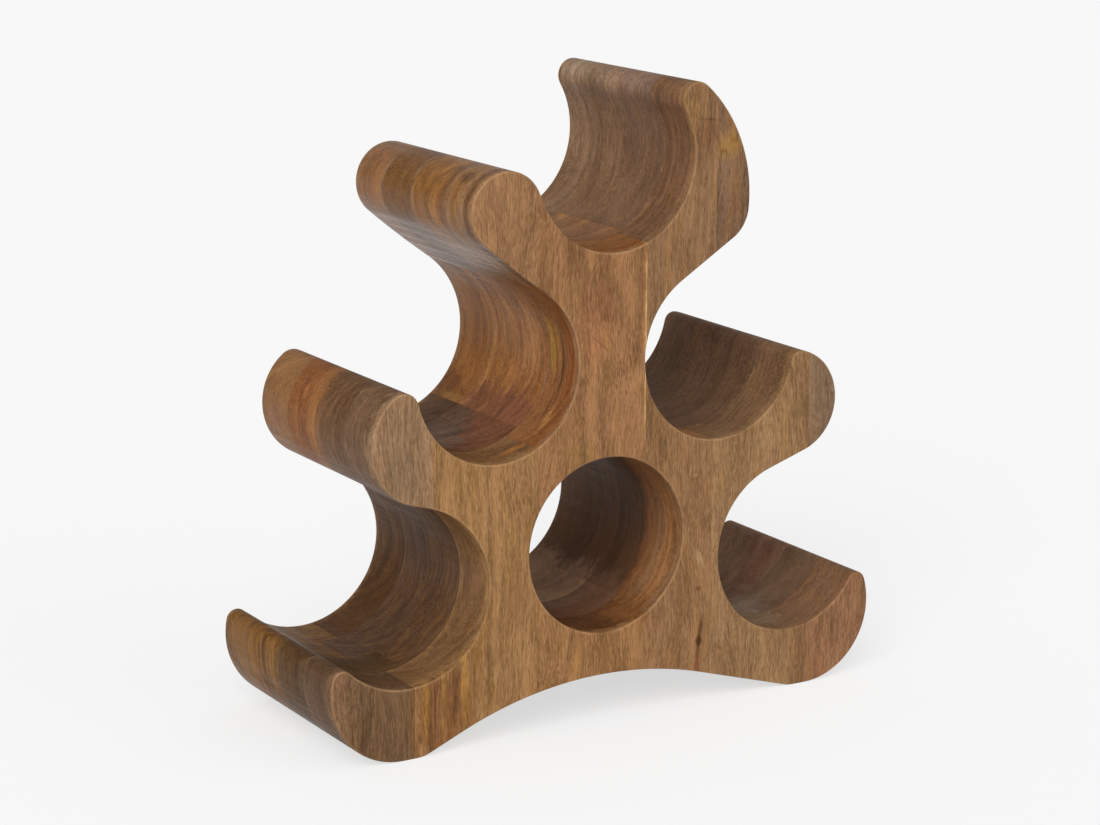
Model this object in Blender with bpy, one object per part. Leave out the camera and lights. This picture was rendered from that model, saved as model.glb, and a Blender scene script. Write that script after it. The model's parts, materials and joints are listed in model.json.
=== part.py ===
"""Free-standing wine bottle holder, sawn from one block of glued hardwood boards.

The block is four layers deep and each layer is several upright boards, glued edge to edge. The
holder has one closed round pocket, with two open pockets beside it, two above it and one on top.
The origin is on the ground below the middle of the holder, +Z is up and the front faces -Y.
"""

import math
from collections import namedtuple

import bmesh
import bpy

MM = 0.001
DEGREE = math.pi / 180

# Block: the thickness of its boards, front to back, and the gap that stands for a glue line
LAYER_THICKNESS = 31 * MM
GLUE_GAP = 0.3 * MM

# Pockets: their size, the wood left between them, and where each lies round the closed one
POCKET_RADIUS = 47 * MM
LOWER_WEB = 24.2 * MM
UPPER_WEB = 29.8 * MM
BOTTOM_LEFT_ANGLE = 185.6 * DEGREE
BOTTOM_RIGHT_ANGLE = -8.1 * DEGREE
MIDDLE_LEFT_ANGLE = 123.4 * DEGREE
MIDDLE_RIGHT_ANGLE = 54.1 * DEGREE

# Arch under the holder, and the rail of wood between it and the closed pocket
ARCH_HEIGHT = 26.3 * MM
ARCH_RADIUS = 218 * MM
ARCH_OFFSET = 2.5 * MM
RAIL_THICKNESS = 23.2 * MM

# Feet: how far each passes its pocket's side, or stops short of it, and its rounding
RIGHT_FOOT_OVERHANG = 6 * MM
LEFT_FOOT_SHORTFALL = 3 * MM
RIGHT_TOE_RADIUS = 41 * MM
LEFT_TOE_RADIUS = 40.5 * MM
FOOT_TIP_RADIUS = 6 * MM
HEEL_RADIUS = 20 * MM
FOOT_LAND = 8 * MM

# Middle arms: the round end of each stands above the bottom pocket on its side
LEFT_ARM_ANGLE = 81.3 * DEGREE
LEFT_ARM_RISE = 0.5 * MM
LEFT_ARM_RADIUS = 32 * MM
LEFT_ARM_TIP_RADIUS = 9 * MM
RIGHT_ARM_ANGLE = 90.5 * DEGREE
RIGHT_ARM_RISE = 3.8 * MM
RIGHT_ARM_RADIUS = 28.5 * MM
RIGHT_ARM_TIP_RADIUS = 6 * MM

# Top left arm: a round tip beside the top pocket, and a slightly bellied flank below it
TOP_LEFT_TIP_ANGLE = 198 * DEGREE
TOP_LEFT_TIP_GAP = 0.5 * MM
TOP_LEFT_TIP_RADIUS = 20.5 * MM
TOP_LEFT_FLANK_RADIUS = 560 * MM

# Top right arm: an elbow above the middle right pocket, a small tip on the top pocket's rim, and
# a long curved back that wraps them both
ELBOW_ANGLE = 92.7 * DEGREE
ELBOW_RISE = 9.8 * MM
ELBOW_RADIUS = 20 * MM
TOP_RIGHT_TIP_ANGLE = 30.3 * DEGREE
TOP_RIGHT_TIP_RADIUS = 9 * MM
TOP_RIGHT_BACK_RADIUS = 77 * MM

# How far an arc's facets may stray from the true arc, and the overrun of everything that cuts
ARC_TOLERANCE = 0.06 * MM
SHORTEST_FACET = 0.05 * MM
OVERRUN = 5 * MM

# A board that ends in an open pocket is parted from the one above it this far up the pocket
PARTING_SHARE = 0.4

# Places of the glued joints in each layer, front to back: left_arm from the axis of the left
# arm's end, as a share of that end's radius, and the rest as shares of a pocket's radius.
# left_foot lies from the bottom left pocket's axis, left from the closed pocket's left side,
# trunk from the middle right pocket's left side, right from the bottom right pocket's left side,
# and right_end from that pocket's axis
JointShares = namedtuple("JointShares", "left_arm left_foot left trunk right right_end")
JOINT_SHARES = {
    "front": JointShares(0.072, 0.064, 0.096, 0.009, 0.106, 0.213),
    "second": JointShares(-0.125, 0.255, 0.223, 0.077, 0.191, 0.085),
    "third": JointShares(0.25, -0.085, 0.223, 0.077, 0.074, 0.319),
    "back": JointShares(-0.031, 0.149, 0.223, 0.009, 0.149, 0.17),
}
BLOCK_DEPTH = len(JOINT_SHARES) * LAYER_THICKNESS + (len(JOINT_SHARES) - 1) * GLUE_GAP

# Wood tones of each layer's left ends, left boards, trunk boards and right boards
LAYER_TONES = {
    "front": ("grey", "honey", "tan", "honey"),
    "second": ("grey", "umber", "tan", "umber"),
    "third": ("russet", "tan", "umber", "tan"),
    "back": ("russet", "tan", "honey", "umber"),
}

# Linear colours of the wood, and the roughness of its waxed face
WOOD_TONES = {
    "grey": (0.29, 0.18, 0.10),
    "honey": (0.47, 0.28, 0.14),
    "tan": (0.42, 0.24, 0.12),
    "umber": (0.26, 0.14, 0.07),
    "russet": (0.36, 0.16, 0.07),
}
WAX_ROUGHNESS = 0.45

# A circle that the sawn outline follows. Wood is 1 where the wood lies inside the circle, and -1
# where the circle is a hollow.
Circle = namedtuple("Circle", "x z radius wood")


def clear_scene():
    """Remove whatever the scene starts with."""
    for obj in list(bpy.data.objects):
        bpy.data.objects.remove(obj, do_unlink=True)


def new_collection(name):
    """Return a new collection, linked to the scene."""
    collection = bpy.data.collections.new(name)
    bpy.context.scene.collection.children.link(collection)
    return collection


def wood_material(tone):
    """Return a waxed wood material in one of the tones."""
    material = bpy.data.materials.new(f"waxed_{tone}_wood")
    material.use_nodes = True
    shader = material.node_tree.nodes["Principled BSDF"]
    shader.inputs["Base Color"].default_value = (*WOOD_TONES[tone], 1)
    shader.inputs["Roughness"].default_value = WAX_ROUGHNESS
    shader.inputs["Metallic"].default_value = 0
    material.diffuse_color = (*WOOD_TONES[tone], 1)
    return material


def hollow_at(centre, angle, distance):
    """Return a bottle pocket at an angle and a distance from another circle's centre."""
    x = centre.x + distance * math.cos(angle)
    z = centre.z + distance * math.sin(angle)
    return Circle(x, z, POCKET_RADIUS, -1)


def beside(circle, angle, gap, radius):
    """Return a round end of wood that stands clear of a circle by a gap, at an angle round it."""
    reach = circle.radius + gap + radius
    x = circle.x + reach * math.cos(angle)
    z = circle.z + reach * math.sin(angle)
    return Circle(x, z, radius, 1)


def meeting_point(first, first_reach, second, second_reach, side):
    """Return the point at given distances from two centres, left (1) or right (-1) of their line."""
    run = (second.x - first.x, second.z - first.z)
    distance = math.hypot(*run)
    along = (distance**2 + first_reach**2 - second_reach**2) / (2 * distance)
    across = side * math.sqrt(first_reach**2 - along**2)
    x = first.x + (along * run[0] - across * run[1]) / distance
    z = first.z + (along * run[1] + across * run[0]) / distance
    return x, z


def rounded_tip(pocket, body, radius, side):
    """Return the small arc that rounds the horn between a pocket and a larger round body."""
    x, z = meeting_point(pocket, pocket.radius + radius, body, body.radius - radius, side)
    return Circle(x, z, radius, 1)


def bellied_flank(pocket, tip, radius, side):
    """Return the long arc that runs from a pocket to the tip of an arm and touches both."""
    x, z = meeting_point(pocket, pocket.radius + radius, tip, radius - tip.radius, side)
    return Circle(x, z, radius, 1)


def curved_back(tip, elbow, radius, side):
    """Return the large arc that wraps the tip and the elbow of an arm and touches both."""
    x, z = meeting_point(tip, radius - tip.radius, elbow, radius - elbow.radius, side)
    return Circle(x, z, radius, 1)


def bottle_pockets():
    """Return the six pockets by name, placed so that the feet reach equally far to both sides."""
    spacing = 2 * POCKET_RADIUS + LOWER_WEB
    right_reach = spacing * math.cos(BOTTOM_RIGHT_ANGLE) + POCKET_RADIUS + RIGHT_FOOT_OVERHANG
    left_reach = spacing * math.cos(BOTTOM_LEFT_ANGLE) - POCKET_RADIUS + LEFT_FOOT_SHORTFALL
    closed = Circle(
        x=-(right_reach + left_reach) / 2,
        z=ARCH_HEIGHT + RAIL_THICKNESS + POCKET_RADIUS,
        radius=POCKET_RADIUS,
        wood=-1,
    )
    middle_left = hollow_at(closed, MIDDLE_LEFT_ANGLE, spacing)
    middle_right = hollow_at(closed, MIDDLE_RIGHT_ANGLE, spacing)
    upper_spacing = 2 * POCKET_RADIUS + UPPER_WEB
    top_x, top_z = meeting_point(middle_left, upper_spacing, middle_right, upper_spacing, 1)
    return {
        "closed": closed,
        "bottom_left": hollow_at(closed, BOTTOM_LEFT_ANGLE, spacing),
        "bottom_right": hollow_at(closed, BOTTOM_RIGHT_ANGLE, spacing),
        "middle_left": middle_left,
        "middle_right": middle_right,
        "top": Circle(top_x, top_z, POCKET_RADIUS, -1),
    }


def left_arm_end(pockets):
    """Return the round end of the middle left arm."""
    return beside(pockets["bottom_left"], LEFT_ARM_ANGLE, LEFT_ARM_RISE, LEFT_ARM_RADIUS)


def top_arms(pockets):
    """Return the circles from the middle left pocket over the top to the middle right one."""
    top = pockets["top"]
    left_tip = beside(top, TOP_LEFT_TIP_ANGLE, TOP_LEFT_TIP_GAP, TOP_LEFT_TIP_RADIUS)
    flank = bellied_flank(pockets["middle_left"], left_tip, TOP_LEFT_FLANK_RADIUS, -1)
    elbow = beside(pockets["middle_right"], ELBOW_ANGLE, ELBOW_RISE, ELBOW_RADIUS)
    right_tip = beside(top, TOP_RIGHT_TIP_ANGLE, 0, TOP_RIGHT_TIP_RADIUS)
    back = curved_back(right_tip, elbow, TOP_RIGHT_BACK_RADIUS, -1)
    return [flank, left_tip, top, right_tip, back, elbow]


def right_arm(pockets):
    """Return the circles of the middle right arm, from its tip to its round end."""
    end = beside(pockets["bottom_right"], RIGHT_ARM_ANGLE, RIGHT_ARM_RISE, RIGHT_ARM_RADIUS)
    return [rounded_tip(pockets["middle_right"], end, RIGHT_ARM_TIP_RADIUS, 1), end]


def feet_and_arch(pockets):
    """Return the circles from the right foot's tip, under the holder, to the left foot's tip."""
    right, left, closed = pockets["bottom_right"], pockets["bottom_left"], pockets["closed"]
    right_end = right.x + right.radius + RIGHT_FOOT_OVERHANG
    left_end = left.x - left.radius + LEFT_FOOT_SHORTFALL
    right_toe = Circle(right_end - RIGHT_TOE_RADIUS, RIGHT_TOE_RADIUS, RIGHT_TOE_RADIUS, 1)
    left_toe = Circle(left_end + LEFT_TOE_RADIUS, LEFT_TOE_RADIUS, LEFT_TOE_RADIUS, 1)
    return [
        rounded_tip(right, right_toe, FOOT_TIP_RADIUS, 1),
        right_toe,
        Circle(right_toe.x - FOOT_LAND, HEEL_RADIUS, HEEL_RADIUS, 1),
        Circle(closed.x - ARCH_OFFSET, ARCH_HEIGHT - ARCH_RADIUS, ARCH_RADIUS, -1),
        Circle(left_toe.x + FOOT_LAND, HEEL_RADIUS, HEEL_RADIUS, 1),
        left_toe,
        rounded_tip(left, left_toe, FOOT_TIP_RADIUS, -1),
    ]


def left_arm(pockets):
    """Return the circles of the middle left arm, from its round end to its tip."""
    end = left_arm_end(pockets)
    return [end, rounded_tip(pockets["middle_left"], end, LEFT_ARM_TIP_RADIUS, -1)]


def outline_circles(pockets):
    """Return every circle of the sawn outline, clockwise from the middle left pocket."""
    return [
        pockets["middle_left"],
        *top_arms(pockets),
        pockets["middle_right"],
        *right_arm(pockets),
        pockets["bottom_right"],
        *feet_and_arch(pockets),
        pockets["bottom_left"],
        *left_arm(pockets),
    ]


def corner_angle(circle, other, distance):
    """Return the angle on a circle between another's centre and the point where the two cross."""
    across = circle.radius**2 + distance**2 - other.radius**2
    return math.acos(across / (2 * distance * circle.radius))


def crossing_angles(first, second, heading, distance):
    """Return the angles on two circles at which the saw turns from one to the other, where a
    hollow runs into a round piece of wood: the wood stays whole and the hollow stops at it."""
    leaving = heading - corner_angle(first, second, distance)
    meeting = heading + math.pi + corner_angle(second, first, distance)
    return leaving, meeting


def tangent_angles(first, second):
    """Return the angles on two circles at which the saw leaves the first and meets the second."""
    run = (second.x - first.x, second.z - first.z)
    distance = math.hypot(*run)
    heading = math.atan2(run[1], run[0])
    if first.wood != second.wood and distance < first.radius + second.radius - SHORTEST_FACET:
        return crossing_angles(first, second, heading, distance)
    leaning = (second.wood * second.radius - first.wood * first.radius) / distance
    # Two circles that touch lean by exactly 1, give or take a rounding error.
    leaning = max(-1.0, min(1.0, leaning))
    normal = heading - math.acos(leaning)
    leaving = normal + math.pi if first.wood > 0 else normal
    meeting = normal + math.pi if second.wood > 0 else normal
    return leaving, meeting


def facet_angle(radius):
    """Return the angle of one facet, so that it strays from the arc by the tolerance."""
    return 2 * math.acos(1 - ARC_TOLERANCE / radius)


def arc_points(circle, start, end):
    """Return points along an arc, clockwise on wood and anticlockwise round a hollow."""
    sweep = (-circle.wood * (end - start)) % (2 * math.pi)
    steps = max(1, math.ceil(sweep / facet_angle(circle.radius)))
    points = []
    for step in range(steps + 1):
        angle = start - circle.wood * sweep * step / steps
        x = circle.x + circle.radius * math.cos(angle)
        z = circle.z + circle.radius * math.sin(angle)
        points.append((x, z))
    return points


def without_repeats(points):
    """Return the points of a closed loop, less any that repeat the one before."""
    return [
        point
        for before, point in zip([points[-1], *points[:-1]], points)
        if math.dist(before, point) > SHORTEST_FACET
    ]


def sawn_outline(circles):
    """Return the closed outline that follows the circles and the straight runs between them."""
    joints = [tangent_angles(a, b) for a, b in zip(circles, [*circles[1:], circles[0]])]
    points = []
    for circle, (_, met), (left, _) in zip(circles, [joints[-1], *joints[:-1]], joints):
        points += arc_points(circle, met, left)
    return without_repeats(points)


def whole_circle(circle):
    """Return the points of a full circle."""
    steps = math.ceil(2 * math.pi / facet_angle(circle.radius))
    angles = [2 * math.pi * step / steps for step in range(steps)]
    return [
        (circle.x + circle.radius * math.cos(angle), circle.z + circle.radius * math.sin(angle))
        for angle in angles
    ]


def upright_mesh(name, loops, thickness):
    """Return the mesh of a flat outline with holes, drawn in XY and given its thickness along Z."""
    curve = bpy.data.curves.new(name, "CURVE")
    curve.dimensions = "2D"
    curve.fill_mode = "BOTH"
    curve.extrude = thickness / 2
    for loop in loops:
        spline = curve.splines.new("POLY")
        spline.points.add(len(loop) - 1)
        spline.use_cyclic_u = True
        for point, (x, z) in zip(spline.points, loop):
            point.co = (x, z, 0, 1)
    drawn = bpy.data.objects.new(name, curve)
    bpy.context.scene.collection.objects.link(drawn)
    graph = bpy.context.evaluated_depsgraph_get()
    mesh = bpy.data.meshes.new_from_object(drawn.evaluated_get(graph))
    bpy.data.objects.remove(drawn, do_unlink=True)
    mesh.name = name
    welded = bmesh.new()
    welded.from_mesh(mesh)
    bmesh.ops.remove_doubles(welded, verts=welded.verts, dist=SHORTEST_FACET / 2)
    bmesh.ops.recalc_face_normals(welded, faces=welded.faces)
    welded.to_mesh(mesh)
    welded.free()
    return mesh


def place_upright(name, mesh, y, collection, holder):
    """Return an object that stands a flat mesh up at a depth, under the holder's empty."""
    obj = bpy.data.objects.new(name, mesh)
    obj.location = (0, y, 0)
    obj.rotation_euler = (math.pi / 2, 0, 0)
    obj.parent = holder
    collection.objects.link(obj)
    return obj


def board_window(bands):
    """Return the outline round a board, given as bands (bottom, top, left joint, right joint)."""
    half_gap = GLUE_GAP / 2
    rising = []
    falling = []
    for bottom, top, left, right in bands:
        rising += [(right - half_gap, bottom), (right - half_gap, top)]
        falling += [(left + half_gap, bottom), (left + half_gap, top)]
    return without_repeats(rising + falling[::-1])


def board_bands(shares, pockets, limits):
    """Return the bands of each board in a layer, by the board's name."""
    far_left, far_right, bottom, top = limits
    closed, middle_right = pockets["closed"], pockets["middle_right"]
    low_left, low_right = pockets["bottom_left"], pockets["bottom_right"]
    left_arm_joint = left_arm_end(pockets).x + shares.left_arm * LEFT_ARM_RADIUS
    left_foot_joint = low_left.x + shares.left_foot * POCKET_RADIUS
    left_joint = closed.x - closed.radius + shares.left * POCKET_RADIUS
    trunk_joint = middle_right.x - middle_right.radius + shares.trunk * POCKET_RADIUS
    right_joint = low_right.x - low_right.radius - shares.right * POCKET_RADIUS
    end_joint = low_right.x + shares.right_end * POCKET_RADIUS
    left_parting = pockets["middle_left"].z + PARTING_SHARE * POCKET_RADIUS
    right_parting = middle_right.z + PARTING_SHARE * POCKET_RADIUS
    return {
        "top_left_arm_tip": [(left_parting, top, far_left, left_joint)],
        "middle_left_arm_tip": [(low_left.z, left_parting, far_left, left_arm_joint)],
        "left_foot_tip": [(bottom, low_left.z, far_left, left_foot_joint)],
        "left_side_board": [
            (bottom, low_left.z, left_foot_joint, left_joint),
            (low_left.z, left_parting, left_arm_joint, left_joint),
        ],
        "trunk_board": [(closed.z, top, left_joint, trunk_joint)],
        "lower_rail_board": [(bottom, closed.z, left_joint, trunk_joint)],
        "right_web_board": [(bottom, middle_right.z, trunk_joint, right_joint)],
        "right_side_board": [(bottom, right_parting, right_joint, end_joint)],
        "top_right_arm_root": [(middle_right.z, top, trunk_joint, right_joint)],
        "top_right_arm_tip": [(right_parting, top, right_joint, far_right)],
        "middle_right_arm_tip": [(low_right.z, right_parting, end_joint, far_right)],
        "right_foot_tip": [(bottom, low_right.z, end_joint, far_right)],
    }


def tone_of(board, layer):
    """Return the wood tone of a board in a layer."""
    left_ends, left_boards, trunk_boards, right_boards = LAYER_TONES[layer]
    if board in ("top_left_arm_tip", "middle_left_arm_tip", "left_foot_tip"):
        return left_ends
    if board == "left_side_board":
        return left_boards
    if board in ("trunk_board", "lower_rail_board"):
        return trunk_boards
    return right_boards


def build_layer(layer, y, block, pockets, limits, parts, cutters, holder, materials):
    """Build the boards of one layer, each one the sawn block kept inside the board's window."""
    for board, bands in board_bands(JOINT_SHARES[layer], pockets, limits).items():
        name = f"{layer}_{board}"
        window = upright_mesh(f"{name}_window", [board_window(bands)], LAYER_THICKNESS + OVERRUN)
        cutter = place_upright(f"{name}_window", window, y, cutters, holder)
        cutter.hide_render = True
        cutter.display_type = "WIRE"
        piece = place_upright(name, block.copy(), y, parts, holder)
        piece.data.materials.append(materials[tone_of(board, layer)])
        kept = piece.modifiers.new("kept_in_window", "BOOLEAN")
        kept.operation = "INTERSECT"
        kept.object = cutter


def main():
    """Build the whole holder."""
    clear_scene()
    parts = new_collection("wine_bottle_holder")
    cutters = new_collection("board_windows")
    holder = bpy.data.objects.new("holder_origin", None)
    parts.objects.link(holder)
    materials = {tone: wood_material(tone) for tone in WOOD_TONES}
    pockets = bottle_pockets()
    outline = sawn_outline(outline_circles(pockets))
    xs = [x for x, _ in outline]
    zs = [z for _, z in outline]
    limits = (min(xs) - OVERRUN, max(xs) + OVERRUN, min(zs) - OVERRUN, max(zs) + OVERRUN)
    block = upright_mesh("sawn_block", [outline, whole_circle(pockets["closed"])], LAYER_THICKNESS)
    block.shade_smooth()
    block.set_sharp_from_angle(angle=math.pi / 6)
    for index, layer in enumerate(JOINT_SHARES):
        y = (LAYER_THICKNESS - BLOCK_DEPTH) / 2 + index * (LAYER_THICKNESS + GLUE_GAP)
        build_layer(layer, y, block, pockets, limits, parts, cutters, holder, materials)


main()
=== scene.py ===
"""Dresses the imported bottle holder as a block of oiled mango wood, glued from 48 boards, in a pale studio."""

import json
import logging
import math
from dataclasses import dataclass, replace
from enum import Enum
from typing import Any

import bmesh
import bpy
import numpy as np
from mathutils import Matrix, Vector


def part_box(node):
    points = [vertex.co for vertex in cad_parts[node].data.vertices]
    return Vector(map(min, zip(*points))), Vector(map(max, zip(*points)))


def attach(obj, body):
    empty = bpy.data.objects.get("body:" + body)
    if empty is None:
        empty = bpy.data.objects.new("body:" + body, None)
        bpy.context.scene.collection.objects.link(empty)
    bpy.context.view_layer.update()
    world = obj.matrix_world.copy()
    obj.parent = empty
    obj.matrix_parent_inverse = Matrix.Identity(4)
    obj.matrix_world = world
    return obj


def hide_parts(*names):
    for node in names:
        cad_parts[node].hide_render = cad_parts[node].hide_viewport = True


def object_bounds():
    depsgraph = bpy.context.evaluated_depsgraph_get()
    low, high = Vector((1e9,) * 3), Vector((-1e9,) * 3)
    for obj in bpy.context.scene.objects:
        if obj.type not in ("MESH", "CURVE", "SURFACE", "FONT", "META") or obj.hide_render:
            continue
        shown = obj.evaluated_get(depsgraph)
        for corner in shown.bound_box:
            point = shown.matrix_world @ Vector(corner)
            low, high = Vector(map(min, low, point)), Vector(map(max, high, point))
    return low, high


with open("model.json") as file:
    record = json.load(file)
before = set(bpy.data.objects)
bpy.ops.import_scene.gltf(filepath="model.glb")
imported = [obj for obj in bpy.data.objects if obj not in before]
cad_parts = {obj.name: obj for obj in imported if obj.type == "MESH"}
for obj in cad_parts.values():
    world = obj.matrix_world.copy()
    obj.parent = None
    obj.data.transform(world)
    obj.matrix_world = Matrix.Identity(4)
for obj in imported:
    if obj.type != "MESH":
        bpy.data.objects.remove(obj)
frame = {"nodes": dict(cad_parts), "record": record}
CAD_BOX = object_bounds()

log = logging.getLogger("bottle_holder")

Socket = bpy.types.NodeSocket
Tree = bpy.types.NodeTree
Colour = tuple[float, float, float, float]
Point = tuple[float, float, float]
Corners = tuple[Vector, Vector]

MM = 0.001
GLUE_GAP = 0.3 * MM
BODY = "root"

# How far the figure of the wood moves on from one board to the next and from one layer to the next,
# and how many millimetres of grain and years of growth one unit of that is
BOARD_STEP = 1.37
LAYER_STEP = 4.1
STEP_LENGTH = 211.0
STEP_YEARS = 17.0

# Where each mark starts to show in its noise and where it shows in full
MARK_EDGES = {"pore": (0.4, 0.54), "vein": (0.52, 0.7), "patchy_scuff_and_highlight": (0.35, 0.65), "rubbed": (0.3, 0.7)}

# How deep the block's front face lies from its middle, in millimetres
FACE = -62

# The oil's shade in the pores and in the ends of the grain: a factor on the tint, and a turn to red
PORE_SHADE = (0.3, 0.1)
END_SHADE = (0.25, 0.1)


class Layer(Enum):
    """The four layers of boards, from the front of the block to its back."""

    FRONT = "front"
    SECOND = "second"
    THIRD = "third"
    BACK = "back"


class Board(Enum):
    """The boards of one layer, named for the part of the holder that each one makes."""

    TOP_LEFT_ARM_TIP = "top_left_arm_tip"
    MIDDLE_LEFT_ARM_TIP = "middle_left_arm_tip"
    LEFT_FOOT_TIP = "left_foot_tip"
    LEFT_SIDE_BOARD = "left_side_board"
    TRUNK_BOARD = "trunk_board"
    LOWER_RAIL_BOARD = "lower_rail_board"
    RIGHT_WEB_BOARD = "right_web_board"
    RIGHT_SIDE_BOARD = "right_side_board"
    TOP_RIGHT_ARM_ROOT = "top_right_arm_root"
    TOP_RIGHT_ARM_TIP = "top_right_arm_tip"
    MIDDLE_RIGHT_ARM_TIP = "middle_right_arm_tip"
    RIGHT_FOOT_TIP = "right_foot_tip"


LEFT_ENDS = (Board.TOP_LEFT_ARM_TIP, Board.MIDDLE_LEFT_ARM_TIP, Board.LEFT_FOOT_TIP)
RIGHT_ENDS = (Board.TOP_RIGHT_ARM_TIP, Board.MIDDLE_RIGHT_ARM_TIP, Board.RIGHT_FOOT_TIP)


class Tone(Enum):
    """The record's material slots, one for each tone of board that went into the block."""

    GREY = "grey_wood"
    HONEY = "honey_wood"
    TAN = "tan_wood"
    UMBER = "umber_wood"
    RUSSET = "russet_wood"


def linear(colour: str) -> Colour:
    """Turn an sRGB hex colour into the linear values that a shader socket takes.

    Args:
        colour: Six hex digits after a hash sign.

    Returns:
        Red, green and blue as linear values, and an alpha of 1.
    """
    parts = [int(colour[i : i + 2], 16) / 255 for i in (1, 3, 5)]
    channels = [part / 12.92 if part <= 0.04045 else ((part + 0.055) / 1.055) ** 2.4 for part in parts]
    return (*channels, 1.0)


def add_node(tree: Tree, kind: str, inputs: dict | None = None, **settings: Any) -> bpy.types.Node:
    """Add one node to a tree.

    Args:
        tree: The node tree of a material or of the world.
        kind: The node's Blender type, without the "ShaderNode" that each of them starts with.
        inputs: A socket to link from, or a value to set, by input name or number.
        settings: Values for the node's own properties.

    Returns:
        The new node.
    """
    node = tree.nodes.new(f"ShaderNode{kind}")
    for name, value in settings.items():
        setattr(node, name, value)
    for name, value in (inputs or {}).items():
        if isinstance(value, Socket):
            tree.links.new(value, node.inputs[name])
        else:
            node.inputs[name].default_value = value
    return node


@dataclass(frozen=True)
class StainOrPaintedLight:
    """A knot, vein, patch or check that shows at one place of a board; a few are painted sheen and painted
    light instead.

    Its centre and its reach are in millimetres, and its edge is ragged by the grain.
    """

    tint: str
    centre: Point
    reach: Point
    strength: float = 0.6
    softness: float = 0.6
    lean: float = 0.0


def growth_band(tint: str, depth: float, width: float, strength: float = 0.7, softness: float = 0.8) -> StainOrPaintedLight:
    """Make a stain that runs round the whole sawn side of a board, as a band of growth does.

    Args:
        tint: Its colour.
        depth: How far its middle lies from the middle of the block, in millimetres towards the back.
        width: Half its width in millimetres.
        strength: How much it covers.
        softness: How much of its width fades.

    Returns:
        The stain.
    """
    past_block = 900
    return StainOrPaintedLight(tint, (0, depth, 160), (past_block, width, past_block), strength, softness)


def upright_streak(
    tint: str, across: float, up: float, width: float, height: float, strength: float = 0.6, lean: float = 0.0
) -> StainOrPaintedLight:
    """Make a stain that runs up the front of the block with the grain.

    Args:
        tint: Its colour.
        across: How far its middle lies to the right of the block's middle in millimetres.
        up: The height of its middle in millimetres.
        width: Half its width in millimetres.
        height: Half its height in millimetres.
        strength: How much it covers.
        lean: How far it leans to the right in degrees.

    Returns:
        The stain.
    """
    thickness = 9
    return StainOrPaintedLight(tint, (across, FACE, up), (width, thickness, height), strength, 0.8, lean)


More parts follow.
